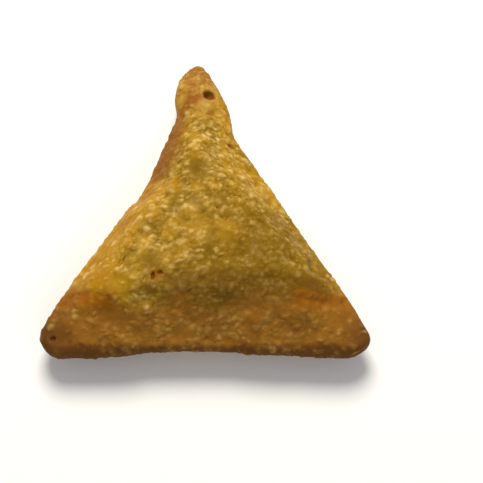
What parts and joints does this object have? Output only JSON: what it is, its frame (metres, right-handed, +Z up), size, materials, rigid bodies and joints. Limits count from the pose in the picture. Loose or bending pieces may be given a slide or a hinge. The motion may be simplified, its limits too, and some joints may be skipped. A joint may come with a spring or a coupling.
{
  "type": "samosa",
  "caption": "Whole fried samosa: a plump, blistered triangle of folded pastry with rounded edges, a long folded tail and blunter corners.",
  "frame": {"origin": "middle of the bounding box's base, on the surface that the samosa lies on", "axes": "+Z up through its thickness, +Y towards the long folded tail, +X to the right seen from its straight near edge"},
  "size_m": [0.1008, 0.104, 0.0249],
  "materials": {
    "pastry": "oily blistered pastry, golden with browned tips and edges"
  },
  "bodies": {
    "root": {"samosa": "pastry"}
  },
  "joints": []
}
